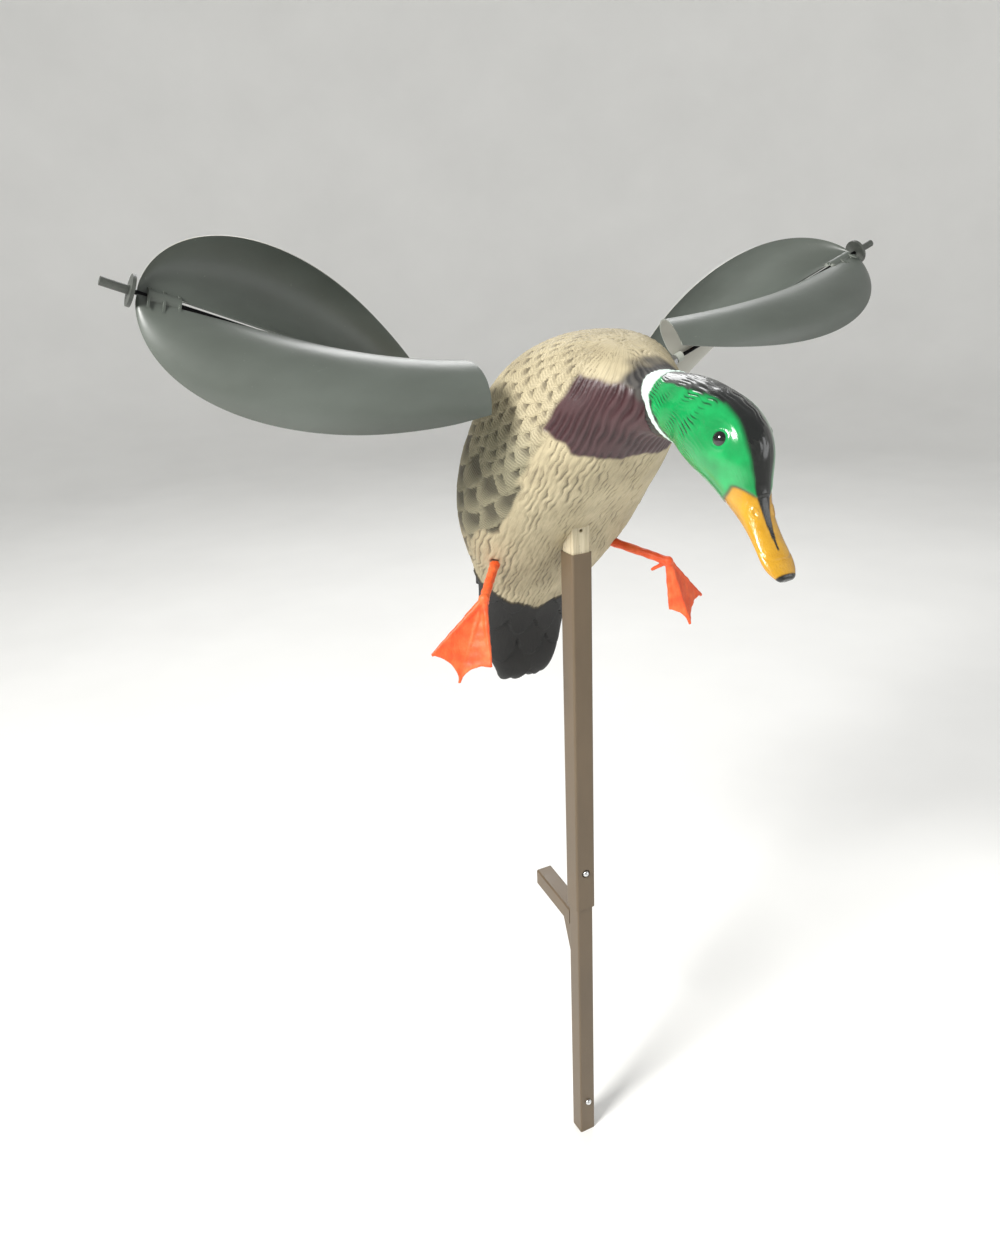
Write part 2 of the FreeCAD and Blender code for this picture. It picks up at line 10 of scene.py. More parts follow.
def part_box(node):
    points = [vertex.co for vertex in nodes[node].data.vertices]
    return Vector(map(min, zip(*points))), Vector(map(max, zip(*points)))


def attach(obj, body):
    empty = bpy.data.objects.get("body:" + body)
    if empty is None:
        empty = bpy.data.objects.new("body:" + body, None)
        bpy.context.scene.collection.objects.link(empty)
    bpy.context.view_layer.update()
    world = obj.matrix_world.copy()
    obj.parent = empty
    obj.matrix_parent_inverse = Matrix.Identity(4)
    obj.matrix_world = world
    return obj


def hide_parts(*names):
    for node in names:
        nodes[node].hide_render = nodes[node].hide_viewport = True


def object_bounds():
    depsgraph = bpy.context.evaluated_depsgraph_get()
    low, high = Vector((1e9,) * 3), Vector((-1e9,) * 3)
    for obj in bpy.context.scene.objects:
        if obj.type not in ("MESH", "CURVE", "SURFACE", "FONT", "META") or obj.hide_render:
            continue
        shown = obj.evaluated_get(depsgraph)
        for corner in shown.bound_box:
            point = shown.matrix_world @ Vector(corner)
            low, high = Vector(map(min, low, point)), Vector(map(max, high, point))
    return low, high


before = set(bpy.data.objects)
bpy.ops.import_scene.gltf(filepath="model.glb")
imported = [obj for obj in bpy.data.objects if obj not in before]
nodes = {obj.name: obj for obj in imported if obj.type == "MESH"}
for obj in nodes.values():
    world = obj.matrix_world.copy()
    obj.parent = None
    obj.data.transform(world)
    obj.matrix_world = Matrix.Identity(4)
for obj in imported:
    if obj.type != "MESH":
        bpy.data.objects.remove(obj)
cad_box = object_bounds()
MM = 0.001
CAMERA_PLACE = (-0.41019, -0.67449, 0.83252)
CAMERA_YAW, CAMERA_PITCH, CAMERA_ROLL = 26.7, -20.1, 2.37
CAMERA_LENS, CAMERA_SENSOR = 29.6, 36.0


# ---- camera, floor and lights ---------------------------------------------------------------------
def aim_camera():
    """Camera a little above the wings, turned towards the duck's right side."""
    yaw, pitch, roll = (math.radians(angle) for angle in (CAMERA_YAW, CAMERA_PITCH, CAMERA_ROLL))
    ahead = Vector((math.sin(yaw) * math.cos(pitch), math.cos(yaw) * math.cos(pitch), math.sin(pitch)))
    across = Vector((math.cos(yaw), -math.sin(yaw), 0.0))
    down = ahead.cross(across)
    right = across * math.cos(roll) + down * math.sin(roll)
    under = down * math.cos(roll) - across * math.sin(roll)
    data = bpy.data.cameras.new("camera")
    data.lens = CAMERA_LENS
    data.sensor_width = CAMERA_SENSOR
    camera = bpy.data.objects.new("camera", data)
    turn = Matrix((right, -under, -ahead)).transposed().to_4x4()
    camera.matrix_world = Matrix.Translation(CAMERA_PLACE) @ turn
    bpy.context.scene.collection.objects.link(camera)
    bpy.context.scene.camera = camera


def area_light(name, place, target, size, power, colour):
    data = bpy.data.lights.new(name, "AREA")
    data.shape = "DISK"
    data.size = size
    data.energy = power
    data.color = colour
    light = bpy.data.objects.new(name, data)
    way = Vector(target) - Vector(place)
    light.matrix_world = Matrix.Translation(place) @ way.to_track_quat("-Z", "Y").to_matrix().to_4x4()
    bpy.context.scene.collection.objects.link(light)


def link_mesh(name, mesh):
    piece = bpy.data.objects.new(name, mesh)
    bpy.context.scene.collection.objects.link(piece)
    return piece


def make_floor():
    """Round pale floor whose rim sweeps up into a wall."""
    bm = bmesh.new()
    rim = [bm.verts.new((x, 0.0, z)) for x, z in
           ((0.0, 0.0), (3.6, 0.0), (4.3, 0.12), (4.8, 0.5), (5.1, 1.1), (5.2, 2.0), (5.2, 3.6))]
    edges = [bm.edges.new(pair) for pair in zip(rim, rim[1:])]
    bmesh.ops.spin(bm, geom=rim + edges, cent=(0, 0, 0), axis=(0, 0, 1), angle=2 * math.pi,
                   steps=96, use_merge=True)
    bmesh.ops.remove_doubles(bm, verts=bm.verts, dist=1e-5)
    bmesh.ops.recalc_face_normals(bm, faces=bm.faces)
    mesh = bpy.data.meshes.new("floor")
    bm.to_mesh(mesh)
    bm.free()
    mesh.shade_smooth()
    floor = link_mesh("floor", mesh)
    mesh.materials.append(floor_paper())


# ---- material helpers -------------------------------------------------------------------------------
def linear(code):
    """Scene-linear colour of an sRGB hex code."""
    parts = [int(code[i:i + 2], 16) / 255 for i in (1, 3, 5)]
    return tuple(p / 12.92 if p <= 0.04045 else ((p + 0.055) / 1.055) ** 2.4 for p in parts) + (1.0,)


def add(tree, kind, sockets=None, **settings):
    """Add one node; sockets maps input names or numbers to values or to other nodes' outputs."""
    node = tree.nodes.new(kind)
    for key, value in settings.items():
        setattr(node, key, value)
    for key, value in (sockets or {}).items():
        if isinstance(value, bpy.types.NodeSocket):
            tree.links.new(value, node.inputs[key])
        else:
            node.inputs[key].default_value = value
    return node


def start(name, roughness, metallic=0.0, colour="#808080", **sockets):
    """New material with its shader; constants go straight on the shader's sockets."""
    material = bpy.data.materials.new(name)
    material.use_nodes = True
    tree = material.node_tree
    tree.nodes.clear()
    shader = add(tree, "ShaderNodeBsdfPrincipled",
                 {"Base Color": linear(colour), "Roughness": roughness, "Metallic": metallic})
    for key, value in sockets.items():
        shader.inputs[key.replace("_", " ")].default_value = value
    add(tree, "ShaderNodeOutputMaterial", {"Surface": shader.outputs[0]})
    return material, tree, shader


def ramp(tree, factor, stops):
    """Colour ramp with (position, colour or grey level) stops."""
    node = add(tree, "ShaderNodeValToRGB", {"Fac": factor})
    bar = node.color_ramp.elements
    while len(bar) < len(stops):
        bar.new(0.5)
    for element, (position, value) in zip(bar, stops):
        element.position = position
        element.color = linear(value) if isinstance(value, str) else (value, value, value, 1.0)
    return node.outputs[0]


def mix(tree, factor, first, second, blend="MIX"):
    node = add(tree, "ShaderNodeMix", data_type="RGBA", blend_type=blend)
    for index, value in ((0, factor), (6, first), (7, second)):
        value = linear(value) if isinstance(value, str) else value
        if isinstance(value, bpy.types.NodeSocket):
            tree.links.new(value, node.inputs[index])
        else:
            node.inputs[index].default_value = value
    return node.outputs[2]


def object_noise(tree, size, detail=3.0, stretch=(1, 1, 1), roughness=0.55):
    """Noise with features of a real size in metres, on Object coordinates."""
    place = add(tree, "ShaderNodeTexCoord").outputs["Object"]
    mapped = add(tree, "ShaderNodeMapping", {"Vector": place, "Scale": stretch})
    return add(tree, "ShaderNodeTexNoise", {"Vector": mapped.outputs[0], "Scale": 1 / size,
                                            "Detail": detail, "Roughness": roughness}).outputs[0]


def bump(tree, height, distance, strength=1.0, under=None):
    sockets = {"Height": height, "Distance": distance, "Strength": strength}
    if under is not None:
        sockets["Normal"] = under
    return add(tree, "ShaderNodeBump", sockets).outputs[0]


def attribute(tree, name):
    return add(tree, "ShaderNodeAttribute", attribute_name=name).outputs["Fac"]


# ---- materials ----------------------------------------------------------------------------------------
def floor_paper():
    """Matt background paper: a trace of tooth."""
    material, tree, shader = start("background_paper", 0.9, colour="#f4f4f2")
    tree.links.new(ramp(tree, object_noise(tree, 0.4), ((0.3, "#f1f1ef"), (0.7, "#f6f6f4"))),
                   shader.inputs["Base Color"])
    return material


def painted_steel():
    """Brown satin enamel sprayed on drawn steel tube: faint orange peel, a few paler rubs and specks."""
    material, tree, shader = start("satin_enamel_on_steel_tube", 0.42, Coat_Weight=0.15, Coat_Roughness=0.3)
    cloud = object_noise(tree, 0.03, 4.0, (1, 1, 0.25))
    base = ramp(tree, cloud, ((0.3, "#5b4c38"), (0.7, "#675742")))
    rubs = ramp(tree, object_noise(tree, 0.006, 6.0, (1, 1, 0.12), 0.7), ((0.66, 0.0), (0.74, 1.0)))
    colour = mix(tree, add(tree, "ShaderNodeMath", {0: rubs, 1: 0.35}, operation="MULTIPLY").outputs[0],
                 base, "#85745c")
    specks = ramp(tree, object_noise(tree, 0.0016, 2.0), ((0.72, 0.0), (0.76, 0.6)))
    tree.links.new(mix(tree, specks, colour, "#43372a"), shader.inputs["Base Color"])
    tree.links.new(ramp(tree, cloud, ((0.3, 0.36), (0.7, 0.5))), shader.inputs["Roughness"])
    peel = bump(tree, object_noise(tree, 0.0012, 2.0), 0.00006)
    tree.links.new(peel, shader.inputs["Normal"])
    return material


def chrome():
    """Polished nickel-chrome on the snap buttons: mirror bright with faint haze."""
    material, tree, shader = start("polished_chrome", 0.12, 1.0, "#d9dadb")
    haze = ramp(tree, object_noise(tree, 0.002), ((0.3, 0.08), (0.7, 0.2)))
    tree.links.new(haze, shader.inputs["Roughness"])
    tree.links.new(bump(tree, object_noise(tree, 0.0008), 0.00001), shader.inputs["Normal"])
    return material


def spring_steel(name, code):
    """Rolled or turned steel with a fine drawn grain."""
    material, tree, shader = start(name, 0.35, 1.0, code)
    grain = object_noise(tree, 0.0012, 4.0, (1, 1, 0.08))
    tree.links.new(ramp(tree, grain, ((0.3, 0.25), (0.7, 0.5))), shader.inputs["Roughness"])
    tree.links.new(bump(tree, grain, 0.00002), shader.inputs["Normal"])
    return material


def post_paint():
    """Cream paint brushed along a steel post: upright streaks, scuffed grey where it has slid in the pole."""
    material, tree, shader = start("brushed_cream_paint", 0.5)
    streaks = object_noise(tree, 0.0022, 4.0, (1, 1, 0.05), 0.6)
    base = ramp(tree, streaks, ((0.3, "#a79b80"), (0.5, "#c3b89c"), (0.72, "#d3c9b0")))
    scuffs = ramp(tree, object_noise(tree, 0.005, 7.0, (1, 1, 0.7), 0.75), ((0.6, 0.0), (0.68, 1.0)))
    place = add(tree, "ShaderNodeSeparateXYZ", {0: add(tree, "ShaderNodeTexCoord").outputs["Object"]})
    low = add(tree, "ShaderNodeMapRange", {"Value": place.outputs[2], "From Min": 0.622, "From Max": 0.603})
    worn = add(tree, "ShaderNodeMath", {0: scuffs, 1: low.outputs[0]}, operation="MULTIPLY").outputs[0]
    tree.links.new(mix(tree, worn, base, "#6f6e66"), shader.inputs["Base Color"])
    tree.links.new(bump(tree, streaks, 0.0001), shader.inputs["Normal"])
    return material


def wing_plastic(name, low, high, shine):
    """Thin moulded polypropylene sheet, painted: satin, with a soft flow mottling and hair scratches."""
    material, tree, shader = start(name, 0.4, Coat_Weight=0.12, Coat_Roughness=0.35)
    cloud = object_noise(tree, 0.05, 4.0, (0.5, 1, 1))
    base = ramp(tree, cloud, ((0.3, low), (0.7, high)))
    scratches = ramp(tree, object_noise(tree, 0.004, 8.0, (0.12, 1, 1), 0.75), ((0.66, 0.0), (0.72, 0.25)))
    specks = ramp(tree, object_noise(tree, 0.0022, 1.0), ((0.77, 0.0), (0.8, 0.16)))
    colour = mix(tree, specks, mix(tree, scratches, base, "#9a9e98"), "#a4a7a0")
    tree.links.new(colour, shader.inputs["Base Color"])
    tree.links.new(ramp(tree, cloud, ((0.3, shine), (0.7, shine + 0.12))), shader.inputs["Roughness"])
    soft = bump(tree, object_noise(tree, 0.02, 2.0), 0.00025)
    tree.links.new(bump(tree, object_noise(tree, 0.0007, 2.0), 0.00002, 1.0, soft), shader.inputs["Normal"])
    return material


def leg_vinyl():
    """Soft orange vinyl from a mould: satin skin, fine creases along the leg and over the webs."""
    material, tree, shader = start("moulded_orange_vinyl", 0.45,
                                   Subsurface_Weight=0.08, Subsurface_Scale=0.003)
    cloud = object_noise(tree, 0.012, 4.0)
    tree.links.new(ramp(tree, cloud, ((0.3, "#d9481a"), (0.5, "#ea5a27"), (0.7, "#f2713c"))),
                   shader.inputs["Base Color"])
    tree.links.new(ramp(tree, cloud, ((0.3, 0.38), (0.7, 0.55))), shader.inputs["Roughness"])
    creases = object_noise(tree, 0.0035, 5.0, (1, 1, 0.35), 0.65)
    fine = bump(tree, object_noise(tree, 0.0009, 2.0), 0.00005)
    tree.links.new(bump(tree, creases, 0.0005, 1.0, fine), shader.inputs["Normal"])
    return material


def dark_plastic(name, low, high, roughness):
    """Moulded dark nylon: satin with faint flow marks and a fine spark-eroded texture."""
    material, tree, shader = start(name, roughness)
    cloud = object_noise(tree, 0.004, 3.0)
    tree.links.new(ramp(tree, cloud, ((0.3, low), (0.7, high))), shader.inputs["Base Color"])
    tree.links.new(bump(tree, object_noise(tree, 0.0006, 2.0), 0.00004), shader.inputs["Normal"])
    return material


def eye_gloss():
    """Clear-lacquered black dome, barely mottled with brown."""
    material, tree, shader = start("lacquered_black_dome", 0.08, Coat_Weight=1.0, Coat_Roughness=0.03)
    tree.links.new(ramp(tree, object_noise(tree, 0.001), ((0.4, "#050505"), (0.8, "#15110c"))),
                   shader.inputs["Base Color"])
    return material


def body_paint():
    """Airbrushed matt paint over a moulded plumage relief, painted shade in its grooves, painted highlights
    on top.
    """
    material, tree, shader = start("airbrushed_matt_paint", 0.55)
    blotch = object_noise(tree, 0.03, 4.0)
    flow = add(tree, "ShaderNodeUVMap", uv_map="flow").outputs[0]
    barb = add(tree, "ShaderNodeUVMap", uv_map="barb").outputs[0]
    hair_scale = add(tree, "ShaderNodeMapping", {"Vector": flow, "Scale": (1.0, 0.12, 1.0)}).outputs[0]
    hair = add(tree, "ShaderNodeTexNoise", {"Vector": hair_scale, "Scale": 1 / 0.0016, "Detail": 4.0,
                                            "Roughness": 0.6, "Distortion": 0.6}).outputs[0]
    parts = add(tree, "ShaderNodeSeparateXYZ", {0: barb})
    side = add(tree, "ShaderNodeMath", {0: parts.outputs[0]}, operation="ABSOLUTE").outputs[0]
    lean = add(tree, "ShaderNodeMath", {0: side, 1: 0.55}, operation="MULTIPLY").outputs[0]
    along = add(tree, "ShaderNodeMath", {0: parts.outputs[1], 1: lean}, operation="ADD").outputs[0]
    turns = add(tree, "ShaderNodeMath", {0: along, 1: 2 * math.pi / 0.0021}, operation="MULTIPLY").outputs[0]
    comb = add(tree, "ShaderNodeMath", {0: turns}, operation="SINE").outputs[0]
    comb = add(tree, "ShaderNodeMapRange", {"Value": comb, "From Min": -1.0, "From Max": 1.0}).outputs[0]
    feathered = attribute(tree, "feathered")
    relief = attribute(tree, "relief")
    cream = ramp(tree, blotch, ((0.25, "#a3977a"), (0.5, "#b5a98a"), (0.75, "#c4b898")))
    grey = ramp(tree, blotch, ((0.25, "#7f7a61"), (0.75, "#979177")))
    plum = ramp(tree, blotch, ((0.3, "#2c1417"), (0.7, "#3b1e22")))
    slate = ramp(tree, blotch, ((0.3, "#1f1e1e"), (0.7, "#34312f")))
    black = ramp(tree, blotch, ((0.3, "#060606"), (0.7, "#12110f")))
    white = ramp(tree, blotch, ((0.3, "#c9dcd3"), (0.7, "#dfeee6")))
    paint = mix(tree, attribute(tree, "flank"), cream, grey)
    # the paint multiplied darker: the colour of the painted shade in the plumage's hollows and grooves
    shaded_paint = mix(tree, 0.8, paint, "#4a4334", "MULTIPLY")
    # painted shade: the paint darkens where the relief is low, between the feathers and the ridges
    hollow_shade = ramp(tree, relief, ((0.0, 0.95), (0.5, 0.0)))
    paint = mix(tree, hollow_shade, paint, shaded_paint)
    fine = mix(tree, feathered, hair, comb)
    # painted shade in the bottoms of the fine hair grooves and barb combs
    groove_shade = ramp(tree, fine, ((0.3, 0.35), (0.55, 0.0)))
    paint = mix(tree, groove_shade, paint, shaded_paint)
    # the breast's plum and the neck's slate turn paler on the ridge tops: painted highlights
    paint = mix(tree, attribute(tree, "breast"), paint,
                mix(tree, ramp(tree, relief, ((0.6, 0.0), (1.0, 0.35))), plum, "#5f4547"))
    paint = mix(tree, attribute(tree, "neck"), paint,
                mix(tree, ramp(tree, relief, ((0.6, 0.0), (1.0, 0.4))), slate, "#5f5b56"))
    paint = mix(tree, attribute(tree, "rump"), paint, black)
    # painted shade: near-black brown in the pockets round the leg roots
    paint = mix(tree, attribute(tree, "pit"), paint, "#1a150e")
    paint = mix(tree, attribute(tree, "ring"), paint, white)
    tree.links.new(paint, shader.inputs["Base Color"])
    sheen = ramp(tree, attribute(tree, "breast"), ((0.0, 0.62), (1.0, 0.4)))
    tree.links.new(sheen, shader.inputs["Roughness"])
    grooves = bump(tree, fine, 0.0004, 0.8)
    tooth = bump(tree, object_noise(tree, 0.0012, 3.0), 0.00008, 1.0, grooves)
    tree.links.new(tooth, shader.inputs["Normal"])
    return material


def head_paint():
    """Gloss enamel on the head and bill: emerald with painted shade in its grooves, black crown, ochre bill.
    """
    material, tree, shader = start("gloss_head_enamel", 0.16, Coat_Weight=0.6, Coat_Roughness=0.06)
    blotch = object_noise(tree, 0.014, 4.0)
    relief = attribute(tree, "relief")
    flow = add(tree, "ShaderNodeUVMap", uv_map="flow").outputs[0]
    hair_scale = add(tree, "ShaderNodeMapping", {"Vector": flow, "Scale": (1.0, 0.1, 1.0)}).outputs[0]
    hair = add(tree, "ShaderNodeTexNoise",
               {"Vector": hair_scale, "Scale": 1 / 0.0011, "Detail": 3.0}).outputs[0]
    green = ramp(tree, blotch, ((0.25, "#078040"), (0.5, "#09914a"), (0.75, "#0fa356")))
    # painted shade: the emerald darkens where the relief is low, in the combed grooves
    green = mix(tree, ramp(tree, relief, ((0.1, 0.9), (0.6, 0.0))), green, "#02301a")
    black = ramp(tree, blotch, ((0.3, "#060807"), (0.7, "#141715")))
    ochre = ramp(tree, blotch, ((0.25, "#b07d12"), (0.5, "#c08d1b"), (0.75, "#cd9c2a")))
    white = ramp(tree, blotch, ((0.3, "#c4dad0"), (0.7, "#dcefe6")))
    # painted shade: the ring's white turns grey-green where the relief is low
    white = mix(tree, ramp(tree, relief, ((0.1, 0.5), (0.5, 0.0))), white, "#8fa79a")
    # the dark nape turns lighter on the ridge tops: painted highlights
    neck = mix(tree, ramp(tree, relief, ((0.5, 0.0), (0.95, 0.4))), "#141614", "#34372f")
    dark = attribute(tree, "dark")
    paint = mix(tree, dark, green, black)
    paint = mix(tree, attribute(tree, "nape"), paint, neck)
    paint = mix(tree, attribute(tree, "bill"), paint, ochre)
    paint = mix(tree, attribute(tree, "seam"), paint, "#3d2c0a")
    paint = mix(tree, attribute(tree, "culmen"), paint, black)
    paint = mix(tree, attribute(tree, "ring"), paint, white)
    tree.links.new(paint, shader.inputs["Base Color"])
    tree.links.new(ramp(tree, attribute(tree, "nape"), ((0.0, 0.16), (1.0, 0.5))), shader.inputs["Roughness"])
    pits = bump(tree, ramp(tree, object_noise(tree, 0.0016, 3.0, (1, 1, 1), 0.7), ((0.35, 0.0), (0.65, 1.0))),
                0.00012, 1.0)
    combed = bump(tree, hair, 0.00025, 0.7)
    tree.links.new(mix(tree, attribute(tree, "bill"), combed, pits), shader.inputs["Normal"])
    return material


# ---- mesh helpers -----------------------------------------------------------------------------------------
def merged_copy(node):
    """A bmesh of a CAD node's copy with its loose triangles joined."""
    bm = bmesh.new()
    bm.from_mesh(nodes[node].data)
    bmesh.ops.remove_doubles(bm, verts=bm.verts, dist=2e-6)
    bm.faces.ensure_lookup_table()
    bm.faces.index_update()
    return bm


def smooth_patches(bm, limit):
    """Groups of faces that meet at less than limit, the largest area first."""
    seen = set()
    groups = []
    for first in bm.faces:
        if first.index in seen:
            continue
        seen.add(first.index)
        group = [first]
        for face in group:
            for edge in face.edges:
                if len(edge.link_faces) == 2 and edge.calc_face_angle(0.0) < limit:
                    for other in edge.link_faces:
                        if other.index not in seen:
                            seen.add(other.index)
                            group.append(other)
        groups.append(group)
    return sorted(groups, key=lambda g: -sum(f.calc_area() for f in g))


def even_mesh(name, bm, voxel, smoothing):
    """Mesh with even quads about one voxel across."""
    mesh = bpy.data.meshes.new(name)
    bm.to_mesh(mesh)
    bm.free()
    raw = link_mesh(name + "_raw", mesh)
    remesh = raw.modifiers.new("even", "REMESH")
    remesh.mode = "VOXEL"
    remesh.voxel_size = voxel
    ready = raw.evaluated_get(bpy.context.evaluated_depsgraph_get())
    even = bpy.data.meshes.new_from_object(ready)
    bpy.data.objects.remove(raw)
    bm = bmesh.new()
    bm.from_mesh(even)
    for _ in range(smoothing):
        bmesh.ops.smooth_vert(bm, verts=bm.verts, factor=0.5,
                              use_axis_x=True, use_axis_y=True, use_axis_z=True)
    bm.to_mesh(even)
    bm.free()
    even.shade_smooth()
    return even


def outer_skin(name, node, voxel):
    """Even closed mesh of a hollow CAD node's outside."""
    bm = merged_copy(node)
    outer = set(smooth_patches(bm, math.radians(35))[0])
    bmesh.ops.delete(bm, geom=[f for f in bm.faces if f not in outer], context="FACES")
    bmesh.ops.holes_fill(bm, edges=[e for e in bm.edges if e.is_boundary], sides=0)
    bmesh.ops.recalc_face_normals(bm, faces=bm.faces)
    return even_mesh(name, bm, voxel, 2)


def read(mesh, what):
    values = np.zeros(len(mesh.vertices) * 3)
    mesh.vertices.foreach_get(what, values)
    return values.reshape(-1, 3)


def write_places(mesh, places):
    mesh.vertices.foreach_set("co", places.ravel())
    mesh.update()


def store(mesh, name, values):
    layer = mesh.attributes.new(name, "FLOAT", "POINT")
    layer.data.foreach_set("value", np.clip(values, 0, 1).astype(np.float32))


def store_uv(mesh, name, corner_values):
    layer = mesh.uv_layers.new(name=name)
    layer.data.foreach_set("uv", corner_values.astype(np.float32).ravel())


def step(values, low, high):
    """Smooth rise from 0 at low to 1 at high."""
    share = np.clip((values - low) / (high - low), 0, 1)
    return share * share * (3 - 2 * share)


def waves(places, size, seed):
    """Smooth wandering field, about -1 to 1, with features of a given size in mm."""
    draw = np.random.RandomState(seed)
    total = np.zeros(len(places))
    for _ in range(6):
        way = draw.normal(size=3)
        way /= np.linalg.norm(way)
        total += np.sin(places @ way * (2 * math.pi / size) * draw.uniform(0.6, 1.5) + draw.uniform(0, 6.3))
    return total / 3.2


def corner_index(mesh):
    corners = np.zeros(len(mesh.loops), int)
    mesh.loops.foreach_get("vertex_index", corners)
    for_face = np.zeros(len(mesh.polygons), int)
    mesh.polygons.foreach_get("loop_total", for_face)
    face_of = np.repeat(np.arange(len(for_face)), for_face)
    return corners, face_of


# ---- plumage layout -----------------------------------------------------------------------------------
def feathers(along, turn, pitch, pitch_turn, seed):
    """Overlapping rounded feathers in staggered rows, tips towards the tail.
    Gives height 0..1, place across -1..1 and distance from the tip in rows."""
    height = np.zeros(len(along))
    across = np.zeros(len(along))
    back = np.zeros(len(along))
    base = np.floor(along / pitch)
    for ahead in (1, 0, -1, -2):
        row = base + ahead
        column = turn / pitch_turn + 0.5 * (row % 2)
        cell = np.floor(column)
        u = 2 * (column - cell) - 1
        odd = np.sin(row * 12.9898 + cell * 78.233 + seed) * 43758.5453
        odd = odd - np.floor(odd) - 0.5
        tip = (row + 1 + 0.62 * (1 - np.abs(u) ** 2.1) + 0.35 * odd) * pitch
        gap = (tip - along) / pitch
        inside = gap > 0
        height[inside] = (1 - gap / 2.4 + 0.12 * odd)[inside]
        across[inside] = u[inside]
        back[inside] = gap[inside]
    return height, across, back


BODY_MID = np.array([0.0, -5.0, 700.0])
SLOPE = math.atan2(255.0, 225.0)
BODY_AXIS = np.array([0.0, math.cos(SLOPE), -math.sin(SLOPE)])
BODY_BACK = np.array([0.0, math.sin(SLOPE), math.cos(SLOPE)])
EVEN_RADIUS = 60.0
SMALL_FEATHER = (10.5, 10.0, 1.0)    # row pitch in mm, width in degrees, seed
LARGE_FEATHER = (19.0, 15.0, 2.0)
TAIL_FEATHER = (26.0, 24.0, 3.0)
GROOVE_PITCH = 4.4                   # belly, mm
RIDGE_PITCH = 4.9                    # breast, mm
LOBE_WIDTH, LOBE_DEPTH, LOBE_REACH = 15.0, 8.0, 26.0    # notches in the tail's end, mm
PIT_DEPTH = 1.3


def body_place(places):
    """Distance along the body from its middle, angle from the belly line, in mm and degrees."""
    rest = places - BODY_MID
    along = rest @ BODY_AXIS
    turn = np.degrees(np.arctan2(rest[:, 0], -(rest @ BODY_BACK)))
    return along, turn


def ring_distance(places):
    """Signed distance from the collar ring's plane, towards the bill."""
    return (places[:, 1] + 127.5) * -0.87 + (places[:, 2] - 731.0) * 0.49


def body_masks(places, along, turn):
    flat = 180 - np.abs(turn)          # from the back line
    ring = ring_distance(places)
    top_edge = 749.5 + 0.16 * (places[:, 1] + 72)
    wander = 2.2 * waves(places, 16, 3)
    low_edge = -37.5 - 6.5 * step(flat, 150, 180) + wander
    breast = step(low_edge - along, 0, 4) * step(top_edge - places[:, 2] + 0.6 * wander, -1.5, 2.5)
    breast *= step(flat - 0.8 * wander, 112.5, 115.5)
    neck_edge = -15 + 0.95 * np.maximum(0, top_edge - places[:, 2])
    neck = step(ring - neck_edge + wander, -4, 6)
    rump_edge = 150 + (np.clip(flat, 60, 180) - 132) * 0.46 + 0.8 * wander
    rump = step(along - rump_edge, -2.5, 2.5)
    front = -88 + 30 * step(flat, 113, 118) * step(-along, 20, 50)
    above_belly = 120 - 9 * step(along, 60, 85) - flat + 1.2 * wander
    plume = step(along - front + wander, -2, 3) * step(above_belly, -1.5, 2.5)
    plume *= 1 - breast
    ring_band = step(ring, -4.2, -3.2)
    return breast, neck, rump, plume, ring_band


def leg_pit(places, along):
    """How deep a body point lies in the moulded pocket that each leg comes out of, 0 to 1."""
    pit = np.zeros(len(places))
    near = np.flatnonzero((along > 70) & (along < 150))
    for leg in ("leg_right", "leg_left"):
        corners = read(nodes[leg].data, "co") * 1000
        tree = KDTree(len(corners))
        for index, corner in enumerate(corners):
            tree.insert(corner, index)
        tree.balance()
        gaps = np.array([tree.find(places[index])[2] for index in near])
        pit[near] = np.maximum(pit[near], 1 - step(gaps, 1.6, 3.4))
    return pit


